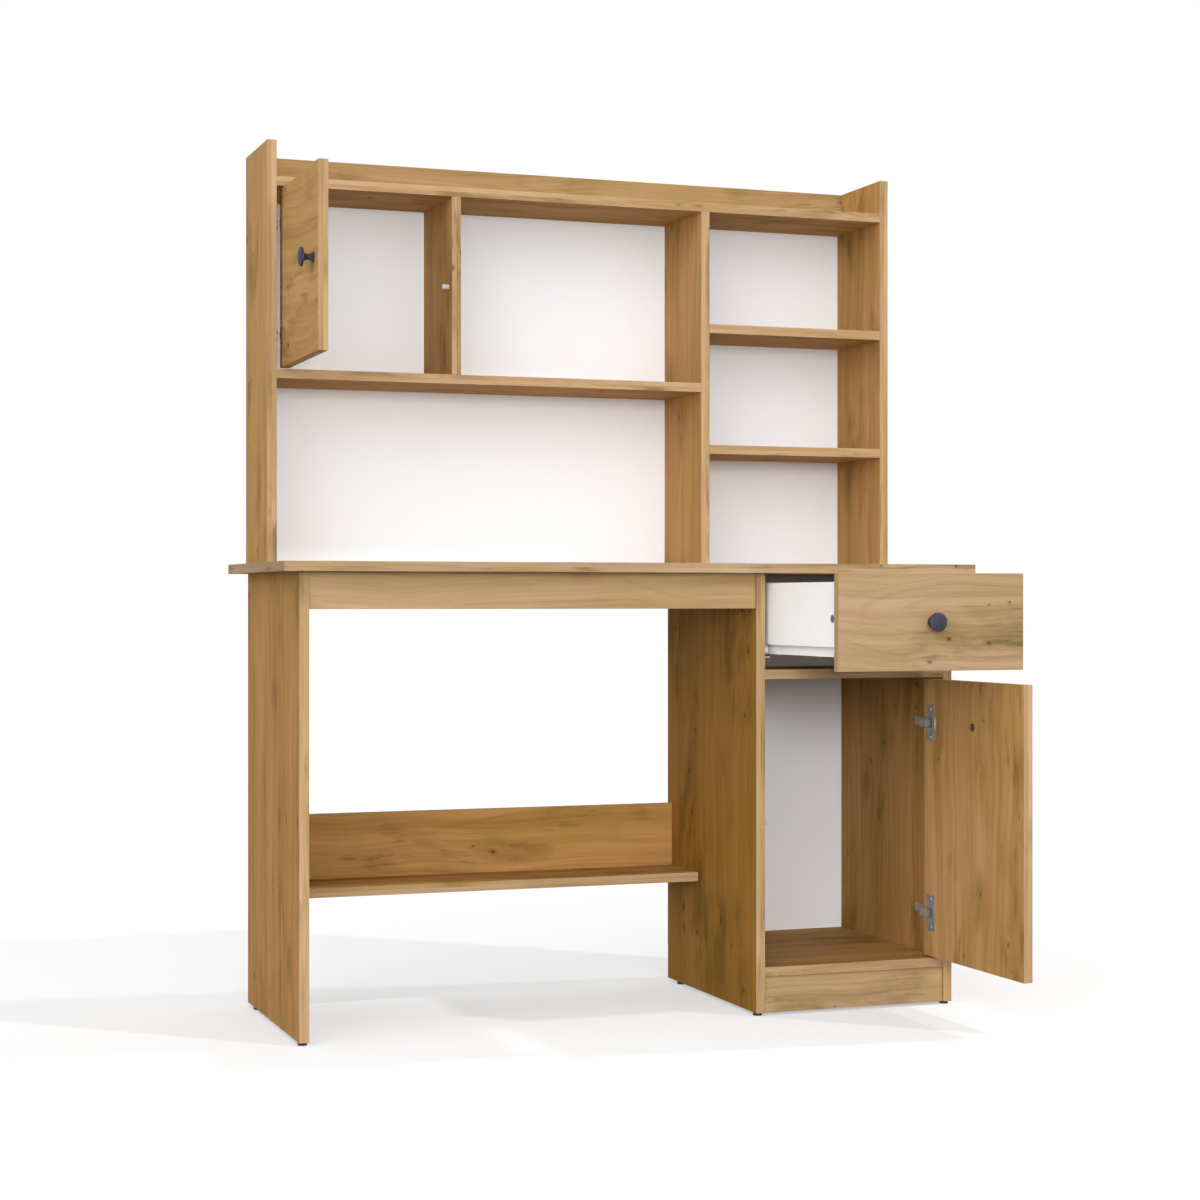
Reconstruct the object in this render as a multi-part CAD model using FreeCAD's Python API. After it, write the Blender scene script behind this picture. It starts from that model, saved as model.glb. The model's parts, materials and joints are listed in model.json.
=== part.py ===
import FreeCAD, Part
import math
import os

# Student desk with a hutch: laminated board, one drawer on roller runners, two doors on cup hinges.
# Millimetres. The origin is on the floor, midway across the worktop and midway through the depth
# with the drawer and doors open. +X is the user's right, +Y is towards the wall, +Z is up.

# Board stock
board = 16.0
back_sheet = 3.0
edge_round = 0.6

# Overall sizes of the desk
worktop_width = 1200.0
worktop_depth = 450.0
worktop_height = 755.0
side_overhang = 30.0
front_overhang = 30.0
leg_depth = 400.0
base_front = -56.0
glide_height = 5.0

# Knee space
apron_height = 59.0
apron_setback = 3.0
footrest_height = 213.0
footrest_depth = 141.0
footrest_back_gap = 4.0
modesty_height = 112.0

# Pedestal with the drawer above the cupboard
pedestal_width = 366.0
plinth_height = 60.0
plinth_setback = 3.0
drawer_bay = 161.0
divider_depth = 172.0

# Hutch
hutch_height = 700.0
hutch_depth = 177.0
gallery_height = 60.0
work_bay = 306.0
door_bay = 301.0
back_inset = 1.0

# Dowels, cam bolts and cam discs that hold the boards together
dowel_radius = 4.0
dowel_reach = 20.0
seat_share = 0.45
bore_clear = 0.1
bore_end_clear = 0.5
cam_radius = 7.4
cam_backset = 24.0
cam_depth_share = 0.75
cam_sink = 0.2
bolt_radius = 3.2
bolt_thread_radius = 2.5
bolt_clear = 0.5
recess_width = 1.2
recess_depth = 1.0
base_dowel_shares = (0.09, 0.91)
base_cam_shares = (0.2, 0.72)
hutch_dowel_shares = (0.12, 0.88)
hutch_cam_shares = (0.33, 0.67)
rail_dowel_shares = (0.25,)
rail_cam_shares = (0.66,)
pair_dowel_shares = (0.28, 0.72)
long_dowel_shares = (0.12, 0.37, 0.63, 0.88)
middle_shares = (0.5,)

# Nails of the hardboard backs
nail_radius = 0.8
nail_length = 15.0
nail_head_radius = 1.8
nail_head = 0.6
nail_shares = (0.05, 0.32, 0.6, 0.88)
nail_long_shares = (0.08, 0.29, 0.5, 0.71, 0.92)

# Floor glides
glide_radius = 7.5
glide_front_inset = 14.0
glide_back_inset = 46.0
glide_pin_radius = 1.5
glide_pin_length = 9.0

# Inset fronts: the drawer front and the two doors
front_gap = 3.0
drawer_head_gap = 2.0
drawer_front_height = 155.0
drawer_pull = 274.0

# Drawer box with steel sides
sheet = 1.2
drawer_length = 350.0
drawer_side_clear = 7.0
track_room = 17.0
drawer_floor_rise = 22.0
lower_wall_height = 16.0
upper_wall_height = 102.6
rim_width = 10.0
rim_drop = 8.0
floor_flange = 15.0
drawer_back_height = 84.0
slip = 0.2
bracket_plate = 2.0
bracket_height = 38.0
bracket_reach = 30.0
bracket_foot = 18.0
bracket_cam_radius = 6.5
bracket_cam_from_front = 14.0
bracket_cam_proud = 0.4
bracket_height_share = 0.435

# Rollers and their runners
roller_radius = 8.0
roller_side_gap = 2.4
axle_radius = 2.5
axle_head_radius = 4.0
axle_head = 1.0
axle_clear = 0.05
axle_end_clear = 0.3
axle_rise = 3.5
rear_axle_inset = 12.0
front_axle_inset = 11.0
run_gap = 0.3
guide_gap = 0.6
guide_start = 8.0
track_gap = 1.0
runner_front_inset = 1.0
web_rise = 10.0
runner_tail = 4.0
runner_screw_shares = (0.2, 0.9)

# Screws
screw_head_radius = 3.2
screw_head = 1.6
screw_radius = 1.75
screw_length = 12.0

# Knobs and their through screws
knob_radius = 15.0
knob_reach = 25.0
knob_neck_radius = 4.5
knob_base_radius = 8.5
knob_base_share = 0.07
knob_neck_share = 0.42
knob_rim_share = 0.72
knob_dome_share = 0.86
knob_screw_radius = 2.0
knob_screw_grip = 12.0
knob_screw_head_radius = 4.0
knob_screw_head = 2.4
knob_sink_radius = 7.0
knob_sink_depth = 8.0
cupboard_knob_drop = 76.0
hutch_knob_inset = 35.0

# Cup hinges: pin and cup in the door, arm and plate on the upright panel
pin_radius = 1.25
pin_from_edge = 13.75
pin_from_front = 7.0
pin_seat_clear = 0.02
pin_run_clear = 0.05
eye_radius = 2.1
cup_radius = 17.5
cup_from_edge = 25.0
cup_depth = 12.2
cup_wall = 1.0
cup_floor = 0.8
flange_height = 62.0
flange_width = 27.0
flange_corner = 3.0
flange_thickness = 1.2
flange_screw_spacing = 48.0
ear_half_width = 3.2
ear_thickness = 3.0
ear_rise = 3.0
ear_gap = 0.7
arm_thickness = 2.0
arm_height = 14.0
arm_reach = 14.0
arm_cross = 21.0
arm_tail = 57.0
arm_lip = 0.8
arm_lip_depth = 5.0
arm_lip_gap = 0.2
plate_thickness = 2.0
plate_height = 50.0
plate_width = 16.0
plate_screw_spacing = 36.0
boss_rise = 7.5
boss_half_height = 5.5
boss_start = 6.0
boss_tail = 2.0
clamp_screw_share = 0.72
cupboard_hinge_inset = 75.0
hutch_hinge_inset = 55.0
cupboard_open_deg = 90.8
hutch_open_deg = 90.7

# Door stops
stop_radius = 4.5
stop_length = 11.0
stop_gap = 0.3
stop_peg_radius = 2.5
stop_peg_length = 7.0
stop_round = 1.5

# Planes that the boards line up with
left_out = side_overhang - worktop_width / 2
left_in = left_out + board
right_out = worktop_width / 2 - side_overhang
right_in = right_out - board
pedestal_out = right_out - pedestal_width
pedestal_in = pedestal_out + board
pedestal_middle = (pedestal_in + right_in) / 2
base_back = base_front + leg_depth
worktop_front = base_front - front_overhang
worktop_back = worktop_front + worktop_depth
worktop_under = worktop_height - board
bottom_under = glide_height + plinth_height
bottom_top = bottom_under + board
divider_top = worktop_under - drawer_bay
divider_under = divider_top - board
footrest_under = footrest_height - board
footrest_back = base_back - footrest_back_gap
hutch_back = worktop_back - back_sheet
hutch_front = hutch_back - hutch_depth
hutch_top = worktop_height + hutch_height
cap_top = hutch_top - gallery_height
cap_under = cap_top - board
shelf_under = worktop_height + work_bay
shelf_top = shelf_under + board
small_left = left_in + door_bay
small_right = small_left + board
right_bay = (cap_under - worktop_height - 2 * board) / 3
lower_under = worktop_height + right_bay
upper_under = lower_under + board + right_bay
seat_depth = board * seat_share
cam_depth = board * cam_depth_share

X, Y, Z = 0, 1, 2
LOW, HIGH = 0, 1
Vec = FreeCAD.Vector
origin = Vec(0, 0, 0)
axes = (Vec(1, 0, 0), Vec(0, 1, 0), Vec(0, 0, 1))

base_depth = (base_front, base_back)
hutch_run = (hutch_front, hutch_back)
leg_run = (glide_height, worktop_under)
knee_run = (left_in, pedestal_out)
pedestal_run = (pedestal_in, right_in)

# Every board by name, as its low and high place along X, Y and Z
boards = {
    "worktop": ((-worktop_width / 2, worktop_width / 2), (worktop_front, worktop_back),
                (worktop_under, worktop_height)),
    "left_leg_panel": ((left_out, left_in), base_depth, leg_run),
    "pedestal_left_panel": ((pedestal_out, pedestal_in), base_depth, leg_run),
    "pedestal_right_panel": ((right_in, right_out), base_depth, leg_run),
    "front_apron": (knee_run, (base_front + apron_setback, base_front + apron_setback + board),
                    (worktop_under - apron_height, worktop_under)),
    "footrest": (knee_run, (footrest_back - footrest_depth, footrest_back),
                 (footrest_under, footrest_height)),
    "modesty_panel": (knee_run, (footrest_back - board, footrest_back),
                      (footrest_height, footrest_height + modesty_height)),
    "pedestal_bottom": (pedestal_run, base_depth, (bottom_under, bottom_top)),
    "drawer_divider": (pedestal_run, (base_front, base_front + divider_depth), (divider_under, divider_top)),
    "plinth": (pedestal_run, (base_front + plinth_setback, base_front + plinth_setback + board),
               (glide_height, bottom_under)),
    "hutch_left_side": ((left_out, left_in), hutch_run, (worktop_height, hutch_top)),
    "hutch_right_side": ((right_in, right_out), hutch_run, (worktop_height, hutch_top)),
    "hutch_tall_divider": ((pedestal_out, pedestal_in), hutch_run, (worktop_height, cap_under)),
    "hutch_top_panel": ((left_in, right_in), hutch_run, (cap_under, cap_top)),
    "gallery_rail": ((left_in, right_in), (hutch_back - board, hutch_back), (cap_top, hutch_top)),
    "long_shelf": (knee_run, hutch_run, (shelf_under, shelf_top)),
    "hutch_small_divider": ((small_left, small_right), hutch_run, (shelf_top, cap_under)),
    "lower_shelf": (pedestal_run, hutch_run, (lower_under, lower_under + board)),
    "upper_shelf": (pedestal_run, hutch_run, (upper_under, upper_under + board)),
}

# How the boards meet: the board that ends, its end, the board it ends on, the run of the fixings,
# the places of dowels and of cams along that run, and the face that the cam discs are let into
board_joints = (
    ("left_leg_panel", Z, HIGH, "worktop", Y, base_dowel_shares, base_cam_shares, HIGH),
    ("pedestal_left_panel", Z, HIGH, "worktop", Y, base_dowel_shares, base_cam_shares, HIGH),
    ("pedestal_right_panel", Z, HIGH, "worktop", Y, base_dowel_shares, base_cam_shares, LOW),
    ("front_apron", X, LOW, "left_leg_panel", Z, rail_dowel_shares, rail_cam_shares, HIGH),
    ("front_apron", X, HIGH, "pedestal_left_panel", Z, rail_dowel_shares, rail_cam_shares, HIGH),
    ("front_apron", Z, HIGH, "worktop", X, long_dowel_shares, (), HIGH),
    ("footrest", X, LOW, "left_leg_panel", Y, hutch_dowel_shares, middle_shares, LOW),
    ("footrest", X, HIGH, "pedestal_left_panel", Y, hutch_dowel_shares, middle_shares, LOW),
    ("modesty_panel", X, LOW, "left_leg_panel", Z, hutch_dowel_shares, middle_shares, HIGH),
    ("modesty_panel", X, HIGH, "pedestal_left_panel", Z, hutch_dowel_shares, middle_shares, HIGH),
    ("modesty_panel", Z, LOW, "footrest", X, long_dowel_shares, (), HIGH),
    ("pedestal_bottom", X, LOW, "pedestal_left_panel", Y, base_dowel_shares, base_cam_shares, LOW),
    ("pedestal_bottom", X, HIGH, "pedestal_right_panel", Y, base_dowel_shares, base_cam_shares, LOW),
    ("drawer_divider", X, LOW, "pedestal_left_panel", Y, hutch_dowel_shares, hutch_cam_shares, LOW),
    ("drawer_divider", X, HIGH, "pedestal_right_panel", Y, hutch_dowel_shares, hutch_cam_shares, LOW),
    ("plinth", X, LOW, "pedestal_left_panel", Z, pair_dowel_shares, (), HIGH),
    ("plinth", X, HIGH, "pedestal_right_panel", Z, pair_dowel_shares, (), HIGH),
    ("plinth", Z, HIGH, "pedestal_bottom", X, pair_dowel_shares, (), HIGH),
    ("hutch_left_side", Z, LOW, "worktop", Y, hutch_dowel_shares, hutch_cam_shares, HIGH),
    ("hutch_tall_divider", Z, LOW, "worktop", Y, hutch_dowel_shares, hutch_cam_shares, HIGH),
    ("hutch_right_side", Z, LOW, "worktop", Y, hutch_dowel_shares + middle_shares, (), LOW),
    ("hutch_tall_divider", Z, HIGH, "hutch_top_panel", Y, hutch_dowel_shares, middle_shares, HIGH),
    ("hutch_top_panel", X, LOW, "hutch_left_side", Y, hutch_dowel_shares, hutch_cam_shares, HIGH),
    ("hutch_top_panel", X, HIGH, "hutch_right_side", Y, hutch_dowel_shares, hutch_cam_shares, HIGH),
    ("gallery_rail", X, LOW, "hutch_left_side", Z, pair_dowel_shares, (), HIGH),
    ("gallery_rail", X, HIGH, "hutch_right_side", Z, pair_dowel_shares, (), HIGH),
    ("gallery_rail", Z, LOW, "hutch_top_panel", X, long_dowel_shares, (), HIGH),
    ("long_shelf", X, LOW, "hutch_left_side", Y, hutch_dowel_shares, hutch_cam_shares, HIGH),
    ("long_shelf", X, HIGH, "hutch_tall_divider", Y, hutch_dowel_shares, hutch_cam_shares, HIGH),
    ("hutch_small_divider", Z, LOW, "long_shelf", Y, hutch_dowel_shares, (), HIGH),
    ("hutch_small_divider", Z, HIGH, "hutch_top_panel", Y, hutch_dowel_shares, (), HIGH),
    ("lower_shelf", X, LOW, "hutch_tall_divider", Y, hutch_dowel_shares, middle_shares, HIGH),
    ("lower_shelf", X, HIGH, "hutch_right_side", Y, hutch_dowel_shares, middle_shares, HIGH),
    ("upper_shelf", X, LOW, "hutch_tall_divider", Y, hutch_dowel_shares, middle_shares, HIGH),
    ("upper_shelf", X, HIGH, "hutch_right_side", Y, hutch_dowel_shares, middle_shares, HIGH),
)

nodes = {}
bores = {}


def block(x, y, z):
    """A plain box between the low and high places of the three axes."""
    return Part.makeBox(x[1] - x[0], y[1] - y[0], z[1] - z[0], Vec(x[0], y[0], z[0]))


def panel(x, y, z):
    """A board with its arrises eased."""
    box = block(x, y, z)
    return box.makeFillet(edge_round, box.Edges)


def rod(start, end, radius):
    return Part.makeCylinder(radius, (end - start).Length, start, end - start)


def joined(pieces):
    """One solid out of pieces that overlap or touch."""
    return pieces[0].multiFuse(pieces[1:]).removeSplitter()


def between(run, share):
    return run[0] + (run[1] - run[0]) * share


def middle(run):
    return (run[0] + run[1]) / 2


def cross_recess(point, axis, arm):
    """The two slots of a driver recess, let into a face at a point, along an axis number."""
    slots = []
    for long_way in range(3):
        if long_way == axis:
            continue
        half = [recess_width / 2] * 3
        half[long_way] = arm
        half[axis] = recess_depth
        slots.append(block(*[(c - h, c + h) for c, h in zip(point, half)]))
    return slots[0].fuse(slots[1])


def screw(point, axis, sign, length=screw_length):
    """A wood screw whose head bears at a point and whose shank runs along an axis."""
    inward = axes[axis] * sign
    head = rod(point - inward * screw_head, point, screw_head_radius)
    shank = rod(point, point + inward * length, screw_radius)
    recess = cross_recess(point - inward * screw_head, axis, screw_head_radius * seat_share)
    return joined([head, shank]).cut(recess)


def screw_bore(point, axis, sign, length=screw_length):
    inward = axes[axis] * sign
    return rod(point, point + inward * (length + bore_end_clear), screw_radius + bore_clear)


def bore(board_name, tool):
    bores.setdefault(board_name, []).append(tool)


def joint_points(edge_name, end_axis, end_side, face_name, run_axis, shares):
    """Points in the plane where two boards meet, midway through the ending board."""
    edge, face = boards[edge_name], boards[face_name]
    run = (max(edge[run_axis][0], face[run_axis][0]), min(edge[run_axis][1], face[run_axis][1]))
    points = []
    for share in shares:
        place = [middle(pair) for pair in edge]
        place[end_axis] = edge[end_axis][end_side]
        place[run_axis] = between(run, share)
        points.append(Vec(*place))
    return points


def cam_fitting(point, inward, edge_name, face_name, thick_axis, cam_side):
    """A bolt screwed into the face board and the disc in the edge board that draws it tight."""
    centre = point + inward * cam_backset
    bolt = joined([rod(point - inward * seat_depth, point, bolt_thread_radius),
                   rod(point, centre, bolt_radius)])
    outward = axes[thick_axis] * (1 if cam_side == HIGH else -1)
    mouth = centre + outward * (board / 2)
    top = mouth - outward * cam_sink
    disc = rod(top, mouth - outward * cam_depth, cam_radius)
    disc = disc.cut(rod(point, centre + inward * bolt_clear, bolt_radius + bolt_clear))
    disc = disc.cut(cross_recess(top, thick_axis, cam_radius / 2))
    bore(face_name, rod(point, point - inward * (seat_depth + bore_clear), bolt_thread_radius + bore_clear))
    bore(edge_name, rod(point, centre, bolt_radius + bolt_clear))
    bore(edge_name, rod(mouth, mouth - outward * (cam_depth + bore_clear), cam_radius + bore_clear))
    return bolt, disc


def join_boards():
    """Dowels, cam bolts and cam discs of every board joint, with their bores."""
    dowels, bolts, discs = [], [], []
    for edge_name, end_axis, end_side, face_name, run_axis, dowel_shares, cam_shares, side in board_joints:
        inward = axes[end_axis] * (1 if end_side == LOW else -1)
        for point in joint_points(edge_name, end_axis, end_side, face_name, run_axis, dowel_shares):
            dowels.append(rod(point - inward * seat_depth, point + inward * dowel_reach, dowel_radius))
            hole = rod(point - inward * (seat_depth + bore_clear),
                       point + inward * (dowel_reach + bore_end_clear), dowel_radius + bore_clear)
            bore(edge_name, hole)
            bore(face_name, hole)
        for point in joint_points(edge_name, end_axis, end_side, face_name, run_axis, cam_shares):
            thick_axis = 3 - end_axis - run_axis
            bolt, disc = cam_fitting(point, inward, edge_name, face_name, thick_axis, side)
            bolts.append(bolt)
            discs.append(disc)
    nodes["wooden_dowels"] = Part.makeCompound(dowels)
    nodes["cam_bolts"] = Part.makeCompound(bolts)
    nodes["cam_discs"] = Part.makeCompound(discs)


def nailed_back(x, y, z, nailing):
    """A hardboard back and the nails that hold it to the rear edges of the named boards."""
    back = block(x, y, z)
    nails = []
    for name, run_axis, shares in nailing:
        pairs = boards[name]
        limits = (x, y, z)[run_axis]
        run = (max(limits[0], pairs[run_axis][0]), min(limits[1], pairs[run_axis][1]))
        for share in shares:
            place = [middle(pair) for pair in pairs]
            place[run_axis] = between(run, share)
            head_top = Vec(place[X], y[1], place[Z])
            seat = head_top - axes[Y] * nail_head
            tip = head_top - axes[Y] * nail_length
            nails.append(joined([rod(head_top, seat, nail_head_radius), rod(seat, tip, nail_radius)]))
            shank = rod(head_top, tip - axes[Y] * bore_clear, nail_radius + bore_clear)
            sink = rod(head_top, seat - axes[Y] * bore_clear, nail_head_radius + bore_clear)
            back = back.cut(shank.fuse(sink))
            bore(name, shank)
    return back, nails


def floor_glides():
    """A nail-on glide near the front and the rear of each upright that stands on the floor."""
    glides = []
    for name in ("left_leg_panel", "pedestal_left_panel", "pedestal_right_panel"):
        across = middle(boards[name][X])
        for along in (base_front + glide_front_inset, base_back - glide_back_inset):
            sole = Vec(across, along, 0)
            seat = Vec(across, along, glide_height)
            pad = rod(sole, seat, glide_radius)
            pad = pad.makeFillet(glide_height * seat_share, [pad.Edges[0]])
            tip = seat + axes[Z] * glide_pin_length
            glides.append(joined([pad, rod(seat - axes[Z] * (glide_height / 2), tip, glide_pin_radius)]))
            bore(name, rod(seat, tip + axes[Z] * bore_clear, glide_pin_radius + bore_clear))
    return Part.makeCompound(glides)


def knob():
    """A mushroom knob turned about Y, with its base on the plane Y = 0 and its head towards -Y."""
    def at(radius, share):
        return Vec(radius, -knob_reach * share, 0)

    def lean(near, far, share):
        return near + (far - near) * share

    foot, neck, rim, dome = knob_base_share, knob_neck_share, knob_rim_share, knob_dome_share
    hollow = at(lean(knob_neck_radius, knob_base_radius, 1 / 4), lean(foot, neck, 2 / 5))
    flare = at(lean(knob_neck_radius, knob_radius, 3 / 10), lean(neck, rim, 7 / 10))
    cap = knob_reach * (1 - dome)
    ball = (knob_radius ** 2 + cap ** 2) / (2 * cap)
    lean_angle = math.asin(knob_radius / ball) / 2
    crown = Vec(ball * math.sin(lean_angle), ball * (1 - math.cos(lean_angle)) - knob_reach, 0)
    outline = Part.Wire([
        Part.LineSegment(at(0, 0), at(knob_base_radius, 0)).toShape(),
        Part.LineSegment(at(knob_base_radius, 0), at(knob_base_radius, foot)).toShape(),
        Part.Arc(at(knob_base_radius, foot), hollow, at(knob_neck_radius, neck)).toShape(),
        Part.Arc(at(knob_neck_radius, neck), flare, at(knob_radius, rim)).toShape(),
        Part.LineSegment(at(knob_radius, rim), at(knob_radius, dome)).toShape(),
        Part.Arc(at(knob_radius, dome), crown, at(0, 1)).toShape(),
        Part.LineSegment(at(0, 1), at(0, 0)).toShape(),
    ])
    turned = Part.Face(outline).revolve(origin, axes[Y], 360)
    grip = rod(origin, axes[Y] * -(knob_screw_grip + bore_end_clear), knob_screw_radius + bore_clear)
    return turned.cut(grip)


def knob_screw(bearing):
    """A machine screw from a bearing plane at Y = bearing, through the front and into the knob."""
    seat = Vec(0, bearing, 0)
    head = rod(seat, seat + axes[Y] * knob_screw_head, knob_screw_head_radius)
    shank = rod(seat, axes[Y] * -knob_screw_grip, knob_screw_radius)
    top = seat + axes[Y] * knob_screw_head
    return joined([head, shank]).cut(cross_recess(top, Y, knob_screw_head_radius * seat_share))


def moved(shape, x, y, z):
    copy = shape.copy()
    copy.translate(Vec(x, y, z))
    return copy


def both_hands(shape):
    """A piece on the left of the drawer and its mirror image on the right."""
    return [shape, shape.mirror(Vec(pedestal_middle, 0, 0), axes[X])]


def drawer_and_runners():
    """The drawer, drawn out to its place, and the runners and rollers that carry it."""
    front_x = (pedestal_in + front_gap, right_in - front_gap)
    front_z = (worktop_under - drawer_head_gap - drawer_front_height, worktop_under - drawer_head_gap)
    box_front = base_front + board
    box_back = box_front + drawer_length
    length = (box_front, box_back)
    wall = pedestal_in + drawer_side_clear
    lower = pedestal_in + track_room
    lower_z = (front_z[0] + drawer_floor_rise, front_z[0] + drawer_floor_rise + lower_wall_height)
    rim_z = lower_z[1] + upper_wall_height
    floor_z = lower_z[0] + sheet
    floor_top = floor_z + board

    # Pressed steel side: rim, wall, step over the runner, lower wall and the flange under the floor
    side = joined([
        block((wall, wall + sheet), length, (lower_z[1], rim_z)),
        block((wall, wall + rim_width), length, (rim_z - sheet, rim_z)),
        block((wall + rim_width - sheet, wall + rim_width), length, (rim_z - rim_drop, rim_z)),
        block((wall, lower + sheet), length, (lower_z[1], lower_z[1] + sheet)),
        block((lower, lower + sheet), length, (lower_z[0], lower_z[1] + sheet)),
        block((lower, lower + floor_flange), length, (lower_z[0], floor_z)),
    ])

    # Floor and back of the drawer
    other = 2 * pedestal_middle
    floor_x = (lower + sheet + slip, other - lower - sheet - slip)
    floor = block(floor_x, length, (floor_z, floor_top))
    back_x = (wall + sheet + slip, other - wall - sheet - slip)
    back = block(back_x, (box_back - board, box_back), (floor_top, floor_top + drawer_back_height))

    # Front bracket inside the side, drawn tight by a cam that shows through the wall
    bracket_z = between((lower_z[1], rim_z), bracket_height_share)
    tall = (bracket_z - bracket_height / 2, bracket_z + bracket_height / 2)
    tab = (wall + sheet, wall + sheet + bracket_plate)
    bracket = joined([
        block(tab, (box_front, box_front + bracket_reach), tall),
        block((tab[0], tab[0] + bracket_foot), (box_front, box_front + bracket_plate), tall),
    ])
    cam_place = Vec(wall - bracket_cam_proud, box_front + bracket_cam_from_front, bracket_z)
    cam_end = Vec(tab[1], cam_place.y, cam_place.z)
    cam = rod(cam_place, cam_end, bracket_cam_radius)
    cam = cam.cut(cross_recess(cam_place, X, bracket_cam_radius / 2))
    cam_hole = rod(cam_place, cam_end, bracket_cam_radius + bore_clear)
    bracket = bracket.cut(cam_hole)
    side = side.cut(cam_hole)

    # Screws: bracket to front, side to back, flange to floor
    screws = []
    front_bores = []
    for share in pair_dowel_shares:
        foot_middle = tab[1] + (bracket_foot - bracket_plate) / 2
        place = Vec(foot_middle, box_front + bracket_plate, between(tall, share))
        screws += both_hands(screw(place, Y, -1))
        front_bores += both_hands(screw_bore(place, Y, -1))
        bracket = bracket.cut(front_bores[-2])
        place = Vec(wall, box_back - board / 2, between((floor_top, floor_top + drawer_back_height), share))
        screws += both_hands(screw(place, X, 1))
        for hole in both_hands(screw_bore(place, X, 1)):
            back = back.cut(hole)
        side = side.cut(screw_bore(place, X, 1))
        place = Vec(lower + sheet + (floor_flange - sheet) / 2, between(length, share), lower_z[0])
        screws += both_hands(screw(place, Z, 1))
        for hole in both_hands(screw_bore(place, Z, 1)):
            floor = floor.cut(hole)
        side = side.cut(screw_bore(place, Z, 1))

    # Rear roller on an axle riveted to the lower wall
    roller_x = (pedestal_in + sheet + roller_side_gap, lower - roller_side_gap)
    rear_y = box_back - rear_axle_inset
    rear_z = lower_z[0] + axle_rise
    root = Vec(lower + sheet, rear_y, rear_z)
    cap = Vec(roller_x[0] - axle_end_clear, rear_y, rear_z)
    rear_axle = joined([
        rod(root, cap, axle_radius),
        rod(cap, cap - axes[X] * axle_head, axle_head_radius),
    ])
    side = side.cut(rod(root, root - axes[X] * sheet, axle_radius))

    def roller(y, z):
        ends = (Vec(roller_x[0], y, z), Vec(roller_x[1], y, z))
        return rod(*ends, roller_radius).cut(rod(*ends, axle_radius + axle_clear))

    # Runner channel on the pedestal panel, with the front roller that the drawer's step rides on
    front_y = box_front + front_axle_inset
    front_roller_z = lower_z[1] - run_gap - roller_radius
    track_z = rear_z - roller_radius - run_gap
    guide_z = rear_z + roller_radius + guide_gap
    runner_y = (box_front + runner_front_inset, box_back + runner_tail)
    guide_y = (front_y + roller_radius + guide_start, runner_y[1])
    web_top = guide_z + sheet + web_rise
    channel = (pedestal_in, lower - track_gap)
    web = (pedestal_in, pedestal_in + sheet)
    runner = joined([
        block(web, runner_y, (track_z - sheet, web_top)),
        block(channel, runner_y, (track_z - sheet, track_z)),
        block(channel, guide_y, (guide_z, guide_z + sheet)),
    ])
    root = Vec(pedestal_in, front_y, front_roller_z)
    cap = Vec(roller_x[1] + axle_end_clear, front_y, front_roller_z)
    front_axle = joined([
        rod(root, cap, axle_radius),
        rod(cap, cap + axes[X] * axle_head, axle_head_radius),
    ])
    runner = runner.cut(rod(root, root + axes[X] * sheet, axle_radius))
    runner_screws = []
    for share in runner_screw_shares:
        place = Vec(web[1], between(runner_y, share), middle((guide_z + sheet, web_top)))
        runner_screws += both_hands(screw(place, X, -1))
        left_bore, right_bore = both_hands(screw_bore(place, X, -1))
        runner = runner.cut(left_bore)
        bore("pedestal_left_panel", left_bore)
        bore("pedestal_right_panel", right_bore)

    # Drawer front with its knob
    knob_x, knob_z = middle(front_x), middle(front_z)
    front = panel(front_x, (base_front, box_front), front_z)
    front_bores.append(rod(Vec(knob_x, base_front, knob_z), Vec(knob_x, box_front, knob_z),
                           knob_screw_radius + bore_clear))
    front = front.cut(Part.makeCompound(front_bores))
    screws.append(moved(knob_screw(board), knob_x, base_front, knob_z))

    sides = both_hands(side)
    rear_rollers = both_hands(roller(rear_y, rear_z))
    drawer_nodes = {
        "drawer_front": front,
        "drawer_left_side": sides[0],
        "drawer_right_side": sides[1],
        "drawer_floor": floor,
        "drawer_back": back,
        "drawer_front_brackets": Part.makeCompound(both_hands(bracket)),
        "drawer_bracket_cams": Part.makeCompound(both_hands(cam)),
        "drawer_roller_axles": Part.makeCompound(both_hands(rear_axle)),
        "drawer_screws": Part.makeCompound(screws),
        "drawer_knob": moved(knob(), knob_x, base_front, knob_z),
        "left_rear_roller": rear_rollers[0],
        "right_rear_roller": rear_rollers[1],
    }
    for name, shape in drawer_nodes.items():
        nodes[name] = moved(shape, 0, -drawer_pull, 0)
    nodes["left_drawer_runner"], nodes["right_drawer_runner"] = both_hands(runner)
    front_rollers = both_hands(roller(front_y, front_roller_z))
    nodes["left_front_roller"], nodes["right_front_roller"] = front_rollers
    nodes["runner_axles"] = Part.makeCompound(both_hands(front_axle))
    nodes["runner_screws"] = Part.makeCompound(runner_screws)


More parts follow.
